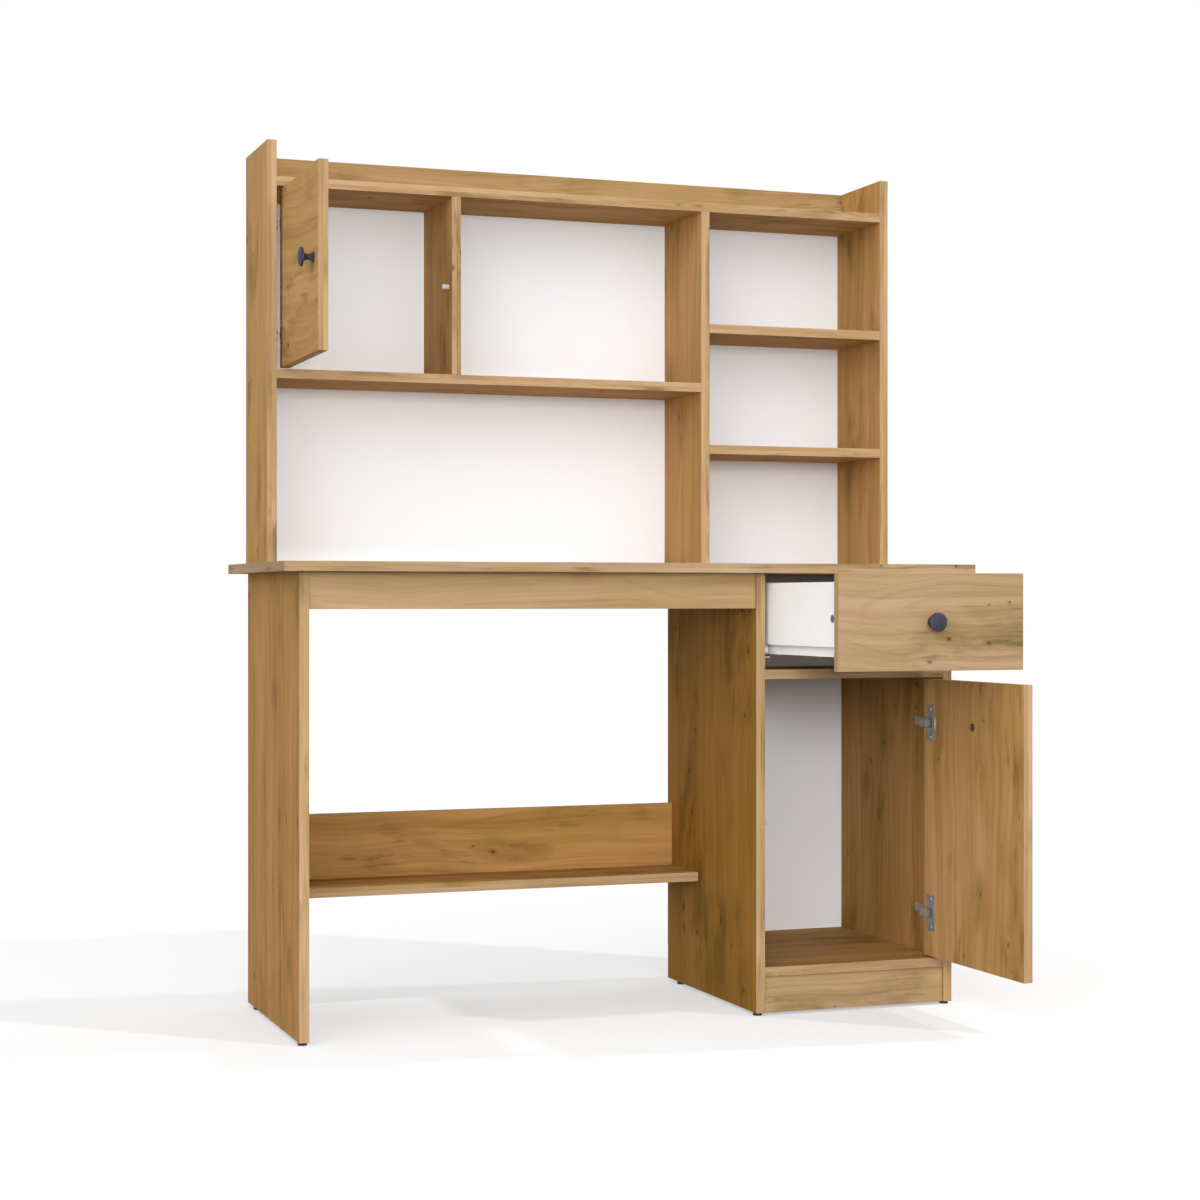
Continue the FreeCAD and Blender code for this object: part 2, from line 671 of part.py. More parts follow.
def hinge_cup():
    """The cup, its slotted flange and the two ears that hold the pin, for a door hinged on its left edge.

    X runs from the upright panel's face, Y from the front plane, Z from the hinge's middle."""
    middle_x = front_gap + cup_from_edge
    pin_x = front_gap + pin_from_edge
    bed = board - cup_depth
    outer = cup_radius - bore_clear
    face = Vec(middle_x, board, 0)
    lid = Vec(middle_x, board - cup_floor, 0)
    body = rod(Vec(middle_x, bed, 0), face, outer)
    hollow = rod(Vec(middle_x, bed + cup_floor, 0), lid, outer - cup_wall)
    flange = block((middle_x - flange_width / 2, middle_x + flange_width / 2),
                   (board, board + flange_thickness), (-flange_height / 2, flange_height / 2))
    rounded = [edge for edge in flange.Edges if abs(edge.tangentAt(edge.FirstParameter).y) > 1 / 2]
    flange = flange.makeFillet(flange_corner, rounded)
    near = arm_height / 2 + ear_gap
    far = near + ear_thickness
    slot = block((middle_x - outer, pin_x + arm_reach + arm_thickness),
                 (pin_from_front + ear_rise, board + flange_thickness), (-near, near))
    shell = joined([body, flange]).cut(hollow).cut(slot)
    ears = []
    for side in (1, -1):
        ear_z = sorted((side * near, side * far))
        ears.append(block((pin_x - ear_half_width, pin_x + ear_half_width),
                          (bed, pin_from_front + ear_rise), ear_z).common(body))
    pin_ends = (Vec(pin_x, pin_from_front, -far), Vec(pin_x, pin_from_front, far))
    cup = joined([shell] + ears).cut(rod(*pin_ends, pin_radius + pin_seat_clear))
    return cup, rod(*pin_ends, pin_radius)


def hinge_arm():
    """The cranked arm: eye on the pin, neck out of the cup, tail along the mounting plate."""
    pin_x, pin_y = front_gap + pin_from_edge, pin_from_front
    far_x = pin_x + arm_reach
    seat_x = boss_rise + arm_thickness / 2
    cross_y = pin_y + arm_cross
    half = arm_thickness / 2
    tall = (-arm_height / 2, arm_height / 2)
    legs = ((pin_x, far_x, pin_y, pin_y), (far_x, far_x, pin_y, cross_y),
            (seat_x, far_x, cross_y, cross_y), (seat_x, seat_x, cross_y, cross_y + arm_tail))
    pieces = [block((x0 - half * (x0 != pin_x), x1 + half), (y0 - half, y1 + half), tall)
              for x0, x1, y0, y1 in legs]
    for side in (1, -1):
        lip_z = sorted((side * arm_height / 2, side * (arm_height / 2 - arm_lip)))
        pieces.append(block((seat_x + half - arm_lip_depth, seat_x + half),
                            (cross_y - half, cross_y + arm_tail + half), lip_z))
    eye_ends = (Vec(pin_x, pin_y, tall[0]), Vec(pin_x, pin_y, tall[1]))
    pieces.append(rod(*eye_ends, eye_radius))
    return joined(pieces).cut(rod(*eye_ends, pin_radius + pin_run_clear))


def hinge_plate():
    """The mounting plate: two wings screwed to the panel and the boss that the arm is clamped on."""
    start = pin_from_front + arm_cross + boss_start
    end = pin_from_front + arm_cross + arm_tail - boss_tail
    centre = (start + end) / 2
    wings = block((0, plate_thickness), (centre - plate_width / 2, centre + plate_width / 2),
                  (-plate_height / 2, plate_height / 2))
    rounded = [edge for edge in wings.Edges if abs(edge.tangentAt(edge.FirstParameter).x) > 1 / 2]
    wings = wings.makeFillet(plate_width / 3, rounded)
    lip_room = arm_height / 2 - arm_lip - arm_lip_gap
    boss_half = min(boss_half_height, lip_room)
    boss = block((0, boss_rise), (start, end), (-boss_half, boss_half))
    clamp = Vec(boss_rise + arm_thickness, between((start, end), clamp_screw_share), 0)
    clamp_length = boss_rise + arm_thickness - plate_thickness
    places = [Vec(plate_thickness, centre, side * plate_screw_spacing / 2) for side in (1, -1)]
    return joined([wings, boss]), places, clamp, clamp_length


def hinged_door(name, face_x, right_hand, front_y, low_z, width, height, knob_from_hinge, knob_z,
                hinge_inset, open_deg, panel_name):
    """A door with its knob and hinges, swung open, and the fixed arms and plates that carry it."""
    def set_up(shape, z=0):
        placed = shape.mirror(origin, axes[X]) if right_hand else shape.copy()
        placed.translate(Vec(face_x, front_y, low_z + z))
        return placed

    def swung(shape, z=0):
        turned = shape.copy()
        turned.rotate(Vec(front_gap + pin_from_edge, pin_from_front, 0), axes[Z], -open_deg)
        return set_up(turned, z)

    knob_place = (front_gap + knob_from_hinge, 0, knob_z)
    cup, pin = hinge_cup()
    arm = hinge_arm()
    plate, plate_screws, clamp, clamp_length = hinge_plate()
    cup_bore = rod(Vec(front_gap + cup_from_edge, board, 0),
                   Vec(front_gap + cup_from_edge, board - cup_depth - bore_clear, 0), cup_radius)
    flange_face = board + flange_thickness
    cup_screws = [Vec(front_gap + cup_from_edge, flange_face, side * flange_screw_spacing / 2)
                  for side in (1, -1)]
    screw_depth = board - flange_thickness - cup_floor

    for place in cup_screws:
        cup = cup.cut(screw_bore(place, Y, -1))
    leaf = panel((front_gap, front_gap + width), (0, board), (0, height))
    sink = Vec(knob_place[0], board, knob_z)
    bearing = board - knob_sink_depth
    leaf = leaf.cut(rod(sink, sink - axes[Y] * knob_sink_depth, knob_sink_radius))
    leaf = leaf.cut(rod(sink, sink - axes[Y] * board, knob_screw_radius + bore_clear))

    cups, pins, door_screws, arms, plates, fixed_screws = [], [], [], [], [], []
    for z in (hinge_inset, height - hinge_inset):
        leaf = leaf.cut(moved(cup_bore, 0, 0, z))
        cups.append(swung(cup, z))
        pins.append(swung(pin, z))
        for place in cup_screws:
            leaf = leaf.cut(moved(screw_bore(place, Y, -1, screw_depth), 0, 0, z))
            door_screws.append(swung(screw(place, Y, -1, screw_depth), z))
        clamp_bore = screw_bore(clamp, X, -1, clamp_length - bore_end_clear)
        arms.append(set_up(arm.cut(clamp_bore), z))
        held = plate.cut(clamp_bore)
        for place in plate_screws:
            held = held.cut(screw_bore(place, X, -1))
            bore(panel_name, set_up(screw_bore(place, X, -1), z))
            fixed_screws.append(set_up(screw(place, X, -1), z))
        plates.append(set_up(held, z))
        fixed_screws.append(set_up(screw(clamp, X, -1, clamp_length - bore_end_clear), z))
    door_screws.append(swung(moved(knob_screw(bearing), *knob_place)))
    nodes[name] = swung(leaf)
    nodes[name + "_knob"] = swung(moved(knob(), *knob_place))
    nodes[name + "_hinge_cups"] = Part.makeCompound(cups)
    nodes[name + "_hinge_pins"] = Part.makeCompound(pins)
    nodes[name + "_screws"] = Part.makeCompound(door_screws)
    return arms, plates, fixed_screws


def doors():
    """The cupboard door in the pedestal and the small door in the hutch."""
    cupboard_height = divider_under - bottom_top - 2 * front_gap
    cupboard_width = right_in - pedestal_in - 2 * front_gap
    cupboard = hinged_door("cupboard_door", right_in, True, base_front, bottom_top + front_gap,
                           cupboard_width, cupboard_height, cupboard_width / 2,
                           cupboard_height - cupboard_knob_drop, cupboard_hinge_inset,
                           cupboard_open_deg, "pedestal_right_panel")
    hutch_door_height = cap_under - shelf_top - 2 * front_gap
    hutch_width = door_bay - 2 * front_gap
    hutch = hinged_door("hutch_door", left_in, False, hutch_front, shelf_top + front_gap,
                        hutch_width, hutch_door_height, hutch_width - hutch_knob_inset,
                        hutch_door_height / 2, hutch_hinge_inset, hutch_open_deg, "hutch_left_side")
    for group, first, second in zip(("hinge_arms", "hinge_plates", "hinge_screws"), cupboard, hutch):
        nodes[group] = Part.makeCompound(first + second)
    nodes["cupboard_door_stop"] = door_stop("pedestal_left_panel", pedestal_in, 1, base_front,
                                            middle((bottom_top, divider_under)))
    nodes["hutch_door_stop"] = door_stop("hutch_small_divider", small_left, -1, hutch_front,
                                         middle((shelf_top, cap_under)))


def door_stop(board_name, face_x, sign, front_y, z):
    """A plastic stub pegged into an upright, just behind the closed door."""
    root = Vec(face_x, front_y + board + stop_gap + stop_radius, z)
    tip = root + axes[X] * (sign * stop_length)
    stub = rod(root, tip, stop_radius)
    ends = [edge for edge in stub.Edges if abs(edge.CenterOfMass.x - tip.x) < stop_gap]
    stub = stub.makeFillet(stop_round, ends)
    peg_tip = root - axes[X] * (sign * stop_peg_length)
    bore(board_name, rod(root, peg_tip - axes[X] * (sign * bore_clear), stop_peg_radius + bore_clear))
    return joined([stub, rod(root + axes[X] * (sign * stop_radius), peg_tip, stop_peg_radius)])


join_boards()
nodes["pedestal_back"], pedestal_nails = nailed_back(
    (pedestal_out + back_inset, right_out - back_inset), (base_back, base_back + back_sheet),
    (bottom_under, worktop_under),
    (("pedestal_left_panel", Z, nail_shares), ("pedestal_right_panel", Z, nail_shares),
     ("pedestal_bottom", X, pair_dowel_shares)))
nodes["hutch_back"], hutch_nails = nailed_back(
    (left_out + back_inset, right_out - back_inset), (hutch_back, worktop_back),
    (worktop_height, hutch_top - back_inset),
    (("hutch_left_side", Z, nail_shares), ("hutch_right_side", Z, nail_shares),
     ("hutch_tall_divider", Z, nail_shares), ("long_shelf", X, nail_shares),
     ("hutch_top_panel", X, nail_long_shares)))
nodes["back_nails"] = Part.makeCompound(pedestal_nails + hutch_nails)
nodes["floor_glides"] = floor_glides()
drawer_and_runners()
doors()
for name, pairs in boards.items():
    nodes[name] = panel(*pairs).cut(bores[name])

os.makedirs("parts", exist_ok=True)
for name, shape in nodes.items():
    shape.exportStep("parts/" + name + ".step")
    print(name, len(shape.Solids), "solids", "valid" if shape.isValid() else "NOT VALID", round(shape.Volume))
print(len(nodes), "nodes")
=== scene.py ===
import json
import math

import bmesh
import bpy
from mathutils import Matrix, Vector

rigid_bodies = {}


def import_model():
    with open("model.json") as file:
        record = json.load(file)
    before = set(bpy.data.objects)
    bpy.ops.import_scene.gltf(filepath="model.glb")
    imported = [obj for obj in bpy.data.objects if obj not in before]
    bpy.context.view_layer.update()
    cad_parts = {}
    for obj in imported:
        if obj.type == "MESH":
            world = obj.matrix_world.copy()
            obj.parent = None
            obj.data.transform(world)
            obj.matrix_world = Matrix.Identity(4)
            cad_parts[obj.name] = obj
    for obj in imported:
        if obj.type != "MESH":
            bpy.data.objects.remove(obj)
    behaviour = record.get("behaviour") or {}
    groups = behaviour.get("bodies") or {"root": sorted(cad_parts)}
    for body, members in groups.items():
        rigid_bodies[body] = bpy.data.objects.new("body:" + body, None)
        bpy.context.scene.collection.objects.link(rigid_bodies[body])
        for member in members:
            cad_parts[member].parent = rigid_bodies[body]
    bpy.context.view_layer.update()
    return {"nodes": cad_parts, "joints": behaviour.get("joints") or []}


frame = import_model()

# Uprights of the desk: the leg panel on the left and the two side panels of the pedestal.
# Chipboard 16 mm thick, faced with a print of knotty oak whose grain stands upright, with banded edges.
# They stand on glides, and dowels and cam bolts tie them to the boards that cross between them.


class Wire:
    """A socket of a material. Sums on it add Math nodes, and its add method makes any other node."""

    def __init__(self, tree, socket):
        self.tree = tree
        self.socket = socket

    def add(self, kind, settings, sockets, output=0):
        node = self.tree.nodes.new("ShaderNode" + kind)
        for name, value in settings.items():
            setattr(node, name, value)
        for name, value in sockets.items():
            if isinstance(value, Wire):
                self.tree.links.new(value.socket, node.inputs[name])
            else:
                node.inputs[name].default_value = value
        return Wire(self.tree, node.outputs[output])

    def beside(self, output):
        return Wire(self.tree, self.socket.node.outputs[output])

    def maths(self, operation, *others):
        return self.add("Math", {"operation": operation}, dict(enumerate((self, *others))))

    def after(self, operation, first):
        return self.add("Math", {"operation": operation}, {0: first, 1: self})

    def __add__(self, other):
        return self.maths("ADD", other)

    def __radd__(self, other):
        return self.after("ADD", other)

    def __sub__(self, other):
        return self.maths("SUBTRACT", other)

    def __rsub__(self, other):
        return self.after("SUBTRACT", other)

    def __mul__(self, other):
        return self.maths("MULTIPLY", other)

    def __rmul__(self, other):
        return self.after("MULTIPLY", other)

    def __truediv__(self, other):
        return self.maths("DIVIDE", other)

    def __rtruediv__(self, other):
        return self.after("DIVIDE", other)

    def __gt__(self, other):
        return self.maths("GREATER_THAN", other)

    def __lt__(self, other):
        return self.maths("LESS_THAN", other)

    def __abs__(self):
        return self.maths("ABSOLUTE")

    def rise(self, low, high):
        """0 up to the low value, 1 from the high value on, and a smooth step between them."""
        ramp = {"Value": self, "From Min": low, "From Max": high}
        return self.add("MapRange", {"interpolation_type": "SMOOTHSTEP"}, ramp)

    def between(self, first, second, blend="MIX"):
        """The first colour where this is 0, and where it is 1 the second, or the two multiplied."""
        factor, below, above, result = 0, 6, 7, 2
        settings = {"data_type": "RGBA", "blend_type": blend}
        return self.add("Mix", settings, {factor: self, below: first, above: second}, result)


def paint(red, green, blue):
    """A colour as it shows on a screen, 0 to 255, turned into the linear colour of a shader."""
    shown = (red / 255, green / 255, blue / 255)
    linear = [c / 12.92 if c < 0.04045 else ((c + 0.055) / 1.055) ** 2.4 for c in shown]
    return (*linear, 1.0)


def two_tone(mask, tones):
    """One tone where the mask is 0, the other where it is 1."""
    return mask.between(*(paint(*tone) for tone in tones))


def coat(name, **constants):
    """One new finish on every slot of a piece: its Object coordinates as a wire, and its shader."""
    material = bpy.data.materials.new(name + "_finish")
    material.use_nodes = True
    tree = material.node_tree
    shader = tree.nodes["Principled BSDF"]
    for socket, value in constants.items():
        shader.inputs[socket.replace("_", " ")].default_value = value
    coordinates = tree.nodes.new("ShaderNodeTexCoord")
    for slot in bpy.data.objects[name].material_slots:
        slot.material = material
    return Wire(tree, coordinates.outputs["Object"]), shader


def feed(shader, colour, roughness, height=None, depth=0.0):
    """Links what changes over a surface to the shader, with the height in parts of a depth in metres."""
    links = colour.tree.links
    links.new(colour.socket, shader.inputs["Base Color"])
    links.new(roughness.socket, shader.inputs["Roughness"])
    if height is not None:
        bump = height.add("Bump", {}, {"Height": height, "Distance": depth, "Strength": 1.0})
        links.new(bump.socket, shader.inputs["Normal"])


def squared_up(name):
    """How a board is brought square to the axes, with its middle at zero.

    Gives the turn about Z that shuts a leaf, the shift after it, and the board's half sizes.
    """
    turn = Matrix.Identity(3)
    pivot = Vector()
    angle = 0.0
    for joint in frame["joints"]:
        if joint["child"] == name:
            angle = math.radians(joint["range_deg"][0]) * joint["axis"][2]
            turn = Matrix.Rotation(angle, 3, "Z")
            pivot = Vector(joint["pos_m"])
    corners = [turn @ (point.co - pivot) + pivot for point in frame["nodes"][name].data.vertices]
    low = Vector(min(c[k] for c in corners) for k in range(3))
    high = Vector(max(c[k] for c in corners) for k in range(3))
    shift = pivot - turn @ pivot - (low + high) / 2
    return angle, shift, (high - low) / 2


# Tone pairs of the one oak print, picked for how each board is lit: the paler pairs are painted light, the
# more saturated and darker pairs painted shade.
lit_face_tones = ((182, 155, 114), (191, 161, 127))
dimmed_front_tones = ((171, 147, 111), (179, 153, 124))
shaded_face_tones = ((178, 139, 79), (189, 145, 91))
deep_shade_tones = ((160, 120, 51), (170, 125, 60))


def oak(name, grain, seed, tones, banding=lit_face_tones):
    """The oak print on one board: grain along one axis on its faces, and along the band on its edges.

    The seed picks the stretch of print. The faces have one pair of tones, the bands on the edges another;
    the pairs are picked for how the board is lit, as painted light and shade.
    """
    place, shader = coat(name, Specular_IOR_Level=0.03)
    angle, shift, half = squared_up(name)
    settled = place.add("Mapping", {}, {"Vector": place, "Location": shift, "Rotation": (0, 0, angle)})
    x = settled.add("SeparateXYZ", {}, {"Vector": settled})
    axes = (x, x.beside("Y"), x.beside("Z"))
    flat = min(range(3), key=lambda k: half[k])
    along = "XYZ".index(grain)
    across = 3 - flat - along
    length, width, thickness = axes[along], axes[across], axes[flat]

    # The band on an end edge turns the print a quarter, and the band on a long edge tips it over the edge.
    # Both faces and every band are cut from stretches of the print that lie well apart.
    edge_round = 0.0003
    end = abs(length) > half[along] - edge_round
    edge = (abs(width) > half[across] - edge_round).maths("MAXIMUM", end)
    face = abs(thickness) > half[flat] - edge_round
    raw = 1 - edge.maths("MAXIMUM", face)
    sheet = (thickness > 0) * 0.9 + edge * 1.7 + end * (length > 0) * 2.3
    u = length + end * (width - length) + sheet
    v = width + edge * (thickness - width) + sheet * 0.61

    def figure(lengthwise, crosswise, layer, detail, rough=0.5, slant=0.0):
        """Noise with that many waves to a metre along and across the grain, unlike any other layer."""
        point = {"X": (u + v * slant) * lengthwise, "Y": v * crosswise, "Z": seed * 5.3 + layer}
        vector = u.add("CombineXYZ", {}, point)
        return u.add("TexNoise", {}, {"Vector": vector, "Scale": 1.0, "Detail": detail, "Roughness": rough})

    # The grain sways by about a centimetre, and all that follows sways with it.
    sway = 0.045
    v = v + (figure(3.6, 5.0, 15.0, 1) - 0.5) * sway

    # The tree was knotty in loose clusters about a hand long, with plain board between them.
    cluster = figure(4.5, 9.0, 1.0, 1)
    knotty = cluster.rise(0.53, 0.64)

    # Knots, at most one to a patch of about 36 by 28 mm, ragged and drawn out along the grain.
    per_length, per_width = 28.0, 36.0
    smallest_knot, largest_knot = 0.00001, 0.0027
    halo_reach = 3.6
    spread = u.add("CombineXYZ", {}, {"X": u * per_length + seed * 3.7, "Y": v * per_width + seed * 2.9})
    patch = u.add("TexVoronoi", {"voronoi_dimensions": "2D"}, {"Vector": spread, "Scale": 1.0})
    offset = u.add("VectorMath", {"operation": "SUBTRACT"}, {0: spread, 1: patch.beside("Position")})
    apart = u.add("SeparateXYZ", {}, {"Vector": offset})
    lengthways = apart / per_length
    crossways = apart.beside("Y") / per_width
    chance = u.add("SeparateColor", {}, {"Color": patch.beside("Color")})
    radius = knotty * chance.rise(0.76, 1.0) * largest_knot + smallest_knot
    drawn_out = lengthways * (0.5 + chance.beside("Green") * 0.5)
    ragged_by = 0.0022
    ragged = (figure(170, 330, 2.0, 2) - 0.5) * ragged_by
    off_knot = (drawn_out * drawn_out + crossways * crossways).maths("SQRT") + ragged
    core = 1 - (off_knot / radius).rise(0.2, 1.3)
    halo = (1 - (off_knot / (radius * halo_reach)).rise(0.2, 1.0)) * (radius > 0.0003)

    # Hair cracks run out of some of the knots along the grain.
    wander_by = 0.003
    wander = (figure(70, 40, 3.0, 2) - 0.5) * wander_by
    thin = 1 - abs(crossways + wander).rise(0.0001, 0.0007)
    short = 1 - abs(lengthways).rise(0.002, 0.011)
    cracks = thin * short * knotty * (chance.beside("Blue") > 0.8)

    # Growth lines: the cut through a leaning cone, so they arch at the middle and run straight at the sides.
    bend_by, lean_by = 0.06, 0.35
    heart_off_middle = 0.02
    knot_push = 0.006
    rings_to_metre = 110
    bend = (figure(1.9, 5.0, 4.0, 2) - 0.5) * bend_by
    lean = (figure(1.3, 0.6, 5.0, 1) - 0.5) * lean_by
    off_heart = v + bend - heart_off_middle
    from_heart = (off_heart * off_heart + lean * lean).maths("SQRT") + knotty * knot_push
    rings = from_heart.add("CombineXYZ", {}, {"X": u * 1.5, "Y": from_heart * rings_to_metre, "Z": seed})
    fine = {"Vector": rings, "Scale": 1.0, "Detail": 4.0, "Roughness": 0.62}
    lines = from_heart.add("TexNoise", {}, fine)
    late_wood = lines.rise(0.46, 0.72) * figure(3.0, 12, 6.0, 2).rise(0.3, 0.65)

    # Soft bands, streaks, fibres and pores along the grain; olive stains and dark flames round the knots.
    bands = figure(1.1, 42, 7.0, 3).rise(0.32, 0.7)
    streaks = figure(2.6, 150, 14.0, 3, 0.65).rise(0.46, 0.66)
    drift = figure(3.2, 11, 8.0, 2).rise(0.36, 0.64)
    fibres = figure(14, 700, 9.0, 3)
    pores = figure(45, 1300, 10.0, 1).rise(0.62, 0.75)
    smudge = figure(9, 20, 11.0, 4, 0.55, 0.7).rise(0.42, 0.68)
    stain = smudge * cluster.rise(0.46, 0.62)
    flames = figure(11, 75, 12.0, 4, 0.6, 0.3).rise(0.55, 0.7) * cluster.rise(0.47, 0.6)

    # Each of these dyes the tone of the board below it, at its own strength.
    colour = edge.between(two_tone(drift, tones), two_tone(drift, banding))
    dyes = (
        (bands, 0.4, (201, 181, 146)),
        (late_wood, 0.3, (184, 158, 118)),
        (streaks, 0.22, (186, 160, 118)),
        (1 - fibres, 0.4, (201, 183, 150)),
        (pores, 0.25, (178, 152, 118)),
        (stain, 0.62, (180, 182, 150)),
        (flames, 0.42, (130, 120, 86)),
        (halo, 0.5, (156, 133, 97)),
        (cracks, 0.7, (110, 92, 69)),
        (core, 0.8, (79, 64, 51)),
    )
    for mask, strength, dye in dyes:
        colour = (mask * strength).between(colour, paint(*dye), "MULTIPLY")

    # Bores and pockets show the bare chips of the board; their dark browns are painted shade for the depth
    # of the holes.
    chips = figure(600, 900, 13.0, 2).rise(0.4, 0.65)
    colour = raw.between(colour, two_tone(chips, ((112, 84, 54), (72, 50, 30))))
    roughness = 0.6 + pores * 0.12 + (fibres - 0.5) * 0.1 + raw * 0.2
    relief = fibres * 0.5 - pores - cracks * 1.5 - core
    feed(shader, colour, roughness, relief, depth=0.00006)


# The leg panel and the pedestal's right panel are seen from their shaded sides and take the saturated tones,
# painted shade.
oak("left_leg_panel", "Z", 1.0, shaded_face_tones)
# The pedestal's left panel takes the darkest tones, painted shade for the knee space under the worktop.
oak("pedestal_left_panel", "Z", 2.0, deep_shade_tones)
oak("pedestal_right_panel", "Z", 3.0, shaded_face_tones)

# Boards that cross between the uprights: apron, footrest, modesty panel, bottom, divider and plinth.
# The same faced chipboard, with the grain running from side to side.
# Each is doweled into the uprights at its ends, and the wide ones are drawn up by cams.

# The apron and the plinth face the front light and take the paler tones, painted light; the other cross
# boards take the saturated tones, painted shade.
crossing = ("front_apron", "footrest", "modesty_panel", "pedestal_bottom", "drawer_divider", "plinth")
for count, name in enumerate(crossing):
    oak(name, "X", 5.0 + count, lit_face_tones if name in ("front_apron", "plinth") else shaded_face_tones)

# Worktop: one board over the leg and the pedestal, past them at both sides and at the front.
# The same board with the grain along its length and bands on all four edges.
# It lies on dowels in the uprights and is pulled down by cam bolts.

# The worktop's edge bands take the dimmed tones, painted shade that holds back the front lamp's light on
# them.
oak("worktop", "X", 12.0, lit_face_tones, dimmed_front_tones)

# Hutch: two sides, two dividers, four shelves and a rail along the top.
# The same board, upright grain in the sides and dividers, lengthwise grain in the shelves and the rail.
# It stands on the worktop on dowels, and cams hold it there.

# The hutch boards and both doors take lighter tones, painted light for inner faces that the lamps leave too
# dim.
lightened_tones = ((188, 150, 93), (198, 156, 106))
dusky_tones = ((163, 137, 93), (172, 143, 103))
uprights = ("hutch_left_side", "hutch_right_side", "hutch_small_divider", "hutch_tall_divider")
for count, name in enumerate(uprights):
    oak(name, "Z", 13.0 + count, lightened_tones)
for count, name in enumerate(("hutch_top_panel", "long_shelf", "lower_shelf", "upper_shelf")):
    oak(name, "X", 18.0 + count, lightened_tones)
oak("gallery_rail", "X", 22.0, dusky_tones)

# Drawer front and the two doors: faced board as the rest, cut to lie between the panels.
# The grain is upright on the cupboard door and level on the drawer front and the small hutch door.
# Each is drilled for its knob, and the doors have round pockets for the hinge cups.

# The drawer front takes the dimmed tones too, painted shade against the front lamp.
oak("drawer_front", "X", 33.0, dimmed_front_tones)
oak("cupboard_door", "Z", 27.0, lightened_tones)
oak("hutch_door", "X", 26.0, lightened_tones)

# Backs of the pedestal and of the hutch: hardboard 3 mm thick.
# The face to the room is white lacquer rolled on, and the face to the wall is bare brown fibre.
# They lie against the rear edges of the boards and are nailed to them.


def hardboard(name):
    """Lacquer on the front skin of the sheet, and bare fibre on all the rest of it."""
    place, shader = coat(name, IOR=1.5)
    shift, half = squared_up(name)[1:]
    settled = place.add("Mapping", {}, {"Vector": place, "Location": shift})
    depth = settled.add("SeparateXYZ", {}, {"Vector": settled}).beside("Y")
    skin_share = 0.15
    bare = depth > (2 * skin_share - 1) * half.y
    cloudy = place.add("TexNoise", {}, {"Vector": place, "Scale": 7.0, "Detail": 3.0})
    fibre = place.add("TexNoise", {}, {"Vector": place, "Scale": 420.0, "Detail": 4.0, "Distortion": 1.2})
    lacquer = two_tone(cloudy, ((236, 240, 245), (240, 243, 247)))
    brown = two_tone(cloudy, ((124, 88, 56), (142, 104, 70)))
    brown = (fibre.rise(0.42, 0.7) * 0.6).between(brown, paint(96, 66, 40))
    roughness = 0.38 + bare * 0.4 + (cloudy - 0.5) * 0.06
    relief = fibre * (0.15 + bare * 0.85)
    feed(shader, bare.between(lacquer, brown), roughness, relief, depth=0.00008)


hardboard("pedestal_back")
hardboard("hutch_back")

# Nails of the backs, hinge screws, runner screws, cam bolts and axles: small steel wire parts.
# Drawn and cold-headed steel with a bright zinc skin, a little clouded.
# Driven or screwed into the boards, with the heads left in sight.


def plated_steel(name, tones, roughness, metallic=1.0):
    """Plated steel: a thin skin of metal with clouds in its tone and fine rolling marks."""
    place, shader = coat(name, Metallic=metallic)
    cloudy = place.add("TexNoise", {}, {"Vector": place, "Scale": 90.0, "Detail": 3.0})
    marks = place.add("TexNoise", {}, {"Vector": place, "Scale": 1500.0, "Detail": 2.0})
    colour = two_tone(cloudy.rise(0.3, 0.7), tones)
    feed(shader, colour, roughness + (cloudy - 0.5) * 0.2 + (marks - 0.5) * 0.1, marks, depth=0.00001)
    return place, shader, colour


zinc_tones = ((205, 205, 203), (182, 182, 182))
for name in ("back_nails", "cam_bolts", "runner_axles", "runner_screws", "drawer_roller_axles",
             "drawer_screws", "hinge_screws"):
    plated_steel(name, zinc_tones, 0.32)

# Screws of the two doors: bright ones through the hinge flanges and one behind each knob, painted near
# black.
# The same cold-headed steel; the near black on the knob's screw is painted shade for the deep pocket it lies
# in.
# The knob's screw lies sunk in a round pocket in the inner face of the door, well in front of the hinge.

hinge_reach = 0.1
for joint in frame["joints"]:
    if joint["child"] in ("cupboard_door", "hutch_door"):
        place, shader, bright = plated_steel(joint["child"] + "_screws", zinc_tones, 0.36)
        depth = place.add("SeparateXYZ", {}, {"Vector": place}).beside("Y")
        # Near black on the knob's screw: painted shade for its deep pocket.
        painted_pocket_shade = depth < joint["pos_m"][1] - hinge_reach
        colour = painted_pocket_shade.between(bright, paint(38, 36, 35))
        colour.tree.links.new(colour.socket, shader.inputs["Base Color"])

# Dowels: turned beech pegs, glued half in one board and half in the next.
# Pale wood with short flecks along the peg.
# They are out of sight once the boards are drawn together.

place, shader = coat("wooden_dowels")
flecks = place.add("TexNoise", {}, {"Vector": place, "Scale": 320.0, "Detail": 3.0})
beech = two_tone(flecks.rise(0.35, 0.7), ((220, 184, 140), (188, 144, 98)))
feed(shader, beech, 0.6 + flecks * 0.2)

# Cam discs: die-cast zinc drums that a screwdriver turns to draw a bolt in.
# Grey cast skin, a little rough.
# Each lies flush in a blind hole beside a joint, and two small ones hold the drawer front to its brackets.


def zinc_casting(name, tones):
    """Cast zinc: one tone in the hollows of the grit, another on its heights."""
    place, shader = coat(name, Metallic=1.0)
    grit = place.add("TexNoise", {}, {"Vector": place, "Scale": 900.0, "Detail": 3.0})
    feed(shader, two_tone(grit, tones), 0.4 + grit * 0.25, grit, depth=0.00003)


zinc_casting("cam_discs", ((170, 171, 173), (196, 196, 197)))
zinc_casting("drawer_bracket_cams", ((118, 119, 121), (140, 141, 143)))

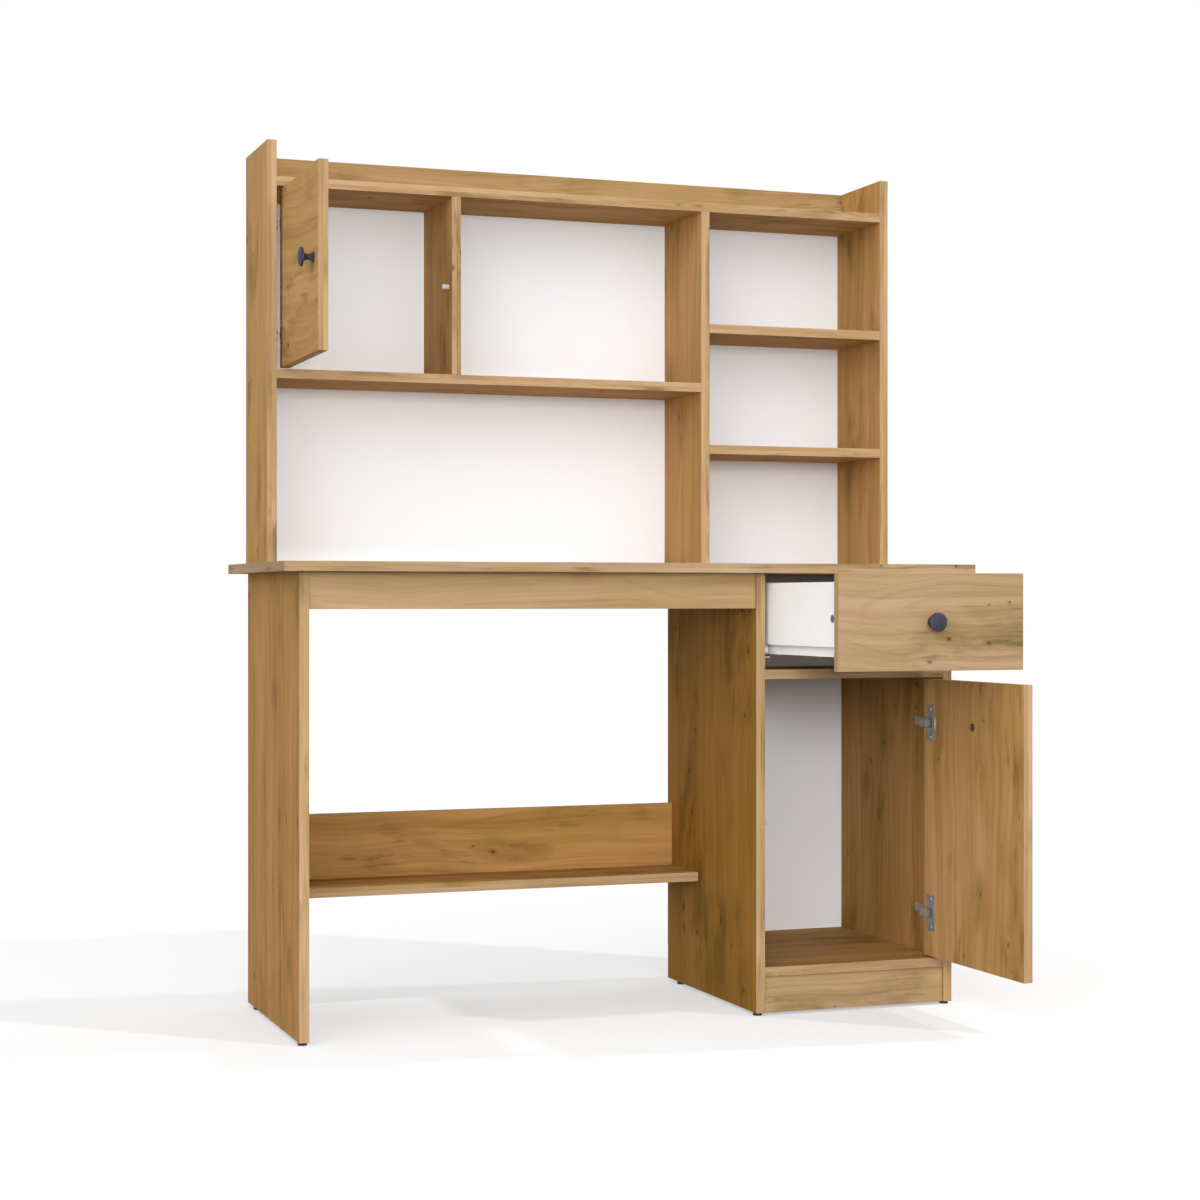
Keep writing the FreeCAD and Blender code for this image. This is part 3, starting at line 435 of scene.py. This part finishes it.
# Drawer sides, front brackets and runners: sheet steel pressed to shape and powder-coated white.
# The coat is smooth with a faint orange-peel skin.
# The sides are screwed to the floor board and ride on nylon wheels in the runners.


def white_skin(name, tones, tone_waves, roughness, skin_share, skin_waves, skin_detail):
    """A white face with a slight drift of tone and a fine skin, both in waves to the metre."""
    place, shader = coat(name, IOR=1.5)
    skin = place.add("TexNoise", {}, {"Vector": place, "Scale": skin_waves, "Detail": skin_detail})
    cloudy = place.add("TexNoise", {}, {"Vector": place, "Scale": tone_waves, "Detail": 2.0})
    feed(shader, two_tone(cloudy, tones), roughness + skin * skin_share, skin, depth=0.00003)


powder_tones = ((238, 239, 240), (243, 244, 245))
for name in ("drawer_left_side", "drawer_right_side", "drawer_front_brackets", "left_drawer_runner",
             "right_drawer_runner"):
    white_skin(name, powder_tones, tone_waves=14.0, roughness=0.34, skin_share=0.1, skin_waves=520.0,
               skin_detail=1.0)

# Drawer floor and back: thin chipboard with a white melamine face.
# The face has the fine pearl of the press plate.
# The floor lies in the steel sides and the back stands on it between them.

melamine_tones = ((228, 227, 225), (234, 233, 232))
for name in ("drawer_floor", "drawer_back"):
    white_skin(name, melamine_tones, tone_waves=9.0, roughness=0.42, skin_share=0.12, skin_waves=1100.0,
               skin_detail=2.0)

# Wheels of the drawer: two in the runners and two on the drawer sides.
# Moulded white nylon, slightly waxy.
# Each turns on a riveted steel axle.


def moulded(name, tones, roughness, skin_waves=700.0):
    """Moulded plastic: a fine spark-eroded skin with a slight drift of tone."""
    place, shader = coat(name, IOR=1.5)
    skin = place.add("TexNoise", {}, {"Vector": place, "Scale": skin_waves, "Detail": 3.0})
    drift = place.add("TexNoise", {}, {"Vector": place, "Scale": 60.0, "Detail": 1.0})
    feed(shader, two_tone(drift, tones), roughness + skin * 0.15, skin, depth=0.00004)
    return shader


for name in ("left_front_roller", "right_front_roller", "left_rear_roller", "right_rear_roller"):
    moulded(name, ((228, 227, 220), (219, 217, 208)), 0.35)

# Concealed hinges: a cup in the door, a cranked arm and a plate on the panel, joined by a pin.
# Pressed steel with satin nickel plating.
# The cups are screwed into their pockets, and the plates to the inside of the panels.

nickel_tones = ((184, 181, 177), (163, 160, 156))
for name in ("hinge_arms", "hinge_plates", "cupboard_door_hinge_cups", "hutch_door_hinge_cups",
             "cupboard_door_hinge_pins", "hutch_door_hinge_pins"):
    plated_steel(name, nickel_tones, 0.42, 0.7)

# Knobs: small mushrooms with a thin rim and a flared foot.
# Cast metal under a matt anthracite lacquer with a violet cast.
# Each is held by one screw from behind the front.

for name in ("drawer_knob", "cupboard_door_knob", "hutch_door_knob"):
    shader = moulded(name, ((44, 42, 53), (50, 48, 61)), 0.42, 1400.0)
    shader.inputs["Specular IOR Level"].default_value = 0.25

# Door stops: stubs of clear plastic pressed into the panel behind each shut door.
# They are milky at the core and glossy outside.
# The shut door rests against them.

for name in ("cupboard_door_stop", "hutch_door_stop"):
    shader = moulded(name, ((226, 229, 230), (236, 238, 238)), 0.12)
    shader.inputs["Transmission Weight"].default_value = 0.45

# Floor glides: black plastic buttons under the uprights.
# Moulded with a fine matt skin.
# Each is nailed into the lower edge and lifts the board off the floor.

moulded("floor_glides", ((30, 30, 31), (38, 38, 39)), 0.5)

# Stage: a pale floor in a white surround, so the object stands on white with a faint shadow.
# A round lamp beside the camera, two small suns from the right, and a sky with four soft bright patches.
# The camera stands where the photograph was taken from.


def seen_directly(tree):
    """1 for rays from the camera and for mirrored or refracted views, 0 for light that is passed on."""
    path = tree.nodes.new("ShaderNodeLightPath")
    camera = Wire(tree, path.outputs["Is Camera Ray"])
    glossy = Wire(tree, path.outputs["Is Glossy Ray"])
    through = Wire(tree, path.outputs["Is Transmission Ray"])
    return camera.maths("MAXIMUM", glossy).maths("MAXIMUM", through)


white = (1, 1, 1, 1)
floor_reach = 30.0
floor_passed_on = 0.25
floor_seen = 0.44
floor_glow = 0.45
floor_mesh = bpy.data.meshes.new("floor")
floor_shape = bmesh.new()
bmesh.ops.create_grid(floor_shape, x_segments=1, y_segments=1, size=floor_reach)
floor_shape.to_mesh(floor_mesh)
floor_shape.free()
floor = bpy.data.objects.new("floor", floor_mesh)
bpy.context.scene.collection.objects.link(floor)
floor_paint = bpy.data.materials.new("floor_paint")
floor_paint.use_nodes = True
floor_tree = floor_paint.node_tree
floor_tree.nodes.clear()
direct = seen_directly(floor_tree)
matt = direct.add("BsdfDiffuse", {}, {"Color": (floor_passed_on, floor_passed_on, floor_passed_on, 1)})
faint = direct.add("BsdfDiffuse", {}, {"Color": (floor_seen, floor_seen, floor_seen, 1)})
glow = direct.add("Emission", {}, {"Color": white, "Strength": floor_glow})
lifted = direct.add("AddShader", {}, {0: faint, 1: glow})
either = direct.add("MixShader", {}, {0: direct, 1: matt, 2: lifted})
surface = floor_tree.nodes.new("ShaderNodeOutputMaterial")
floor_tree.links.new(either.socket, surface.inputs["Surface"])
floor_mesh.materials.append(floor_paint)

world = bpy.data.worlds.new("surround")
bpy.context.scene.world = world
world.use_nodes = True
world_tree = world.node_tree
sky = world_tree.nodes["Background"]
plain = seen_directly(world_tree)
directions = Wire(world_tree, world_tree.nodes.new("ShaderNodeTexCoord").outputs["Generated"])


def bright_patch(middle, strength):
    """A soft patch of the sky that fades out about 66 degrees from its middle.

    It lights the desk only: in sight of the camera the sky stays plain white.
    """
    facing = directions.add("VectorMath", {"operation": "DOT_PRODUCT"},
                            {0: directions, 1: Vector(middle).normalized()}, "Value")
    return facing.rise(0.4, 1.0) * strength


left_sky = bright_patch((-0.83, -0.55, 0.05), 2.4)
top_sky = bright_patch((0, 0, 1), 0.9)
rear_sky = bright_patch((0.5, 0.8, 0.2), 0.9)
front_sky = bright_patch((-0.1, -0.98, 0.0), 1.2)
soft_sky = left_sky + top_sky + rear_sky + front_sky
seen_sky = soft_sky + plain * (1 - soft_sky)
world_tree.links.new(seen_sky.socket, sky.inputs["Strength"])
sky.inputs["Color"].default_value = white

lamp_aim = Vector((0, 0, 0.9))
front_lamp = bpy.data.lights.new("front_lamp", "AREA")
front_lamp.shape = "DISK"
front_lamp.size = 0.9
front_lamp.energy = 64.0
lamp_stand = bpy.data.objects.new("front_lamp", front_lamp)
lamp_stand.location = (-0.85, -4.0, 1.2)
lamp_stand.rotation_euler = (lamp_stand.location - lamp_aim).to_track_quat("Z", "Y").to_euler()
bpy.context.scene.collection.objects.link(lamp_stand)

sun_strength = 0.95
sun_width = math.radians(2)
for name, towards in (("corner_sun", (0.667, -0.623, 1.0)), ("side_sun", (1.325, -0.143, 1.0))):
    light = bpy.data.lights.new(name, "SUN")
    light.energy = sun_strength
    light.angle = sun_width
    sun = bpy.data.objects.new(name, light)
    sun.rotation_euler = Vector(towards).to_track_quat("Z", "Y").to_euler()
    bpy.context.scene.collection.objects.link(sun)

view = bpy.data.cameras.new("camera")
view.lens = 70.04
view.sensor_width = 36.0
view.shift_y = 0.00075
camera = bpy.data.objects.new("camera", view)
level = math.radians(90)
turned_right = -0.348
camera.location = (-1.36736, -3.62384, 0.69283)
camera.rotation_euler = (level, 0, turned_right)
bpy.context.scene.collection.objects.link(camera)
bpy.context.scene.camera = camera
bpy.context.scene.view_settings.view_transform = "Standard"
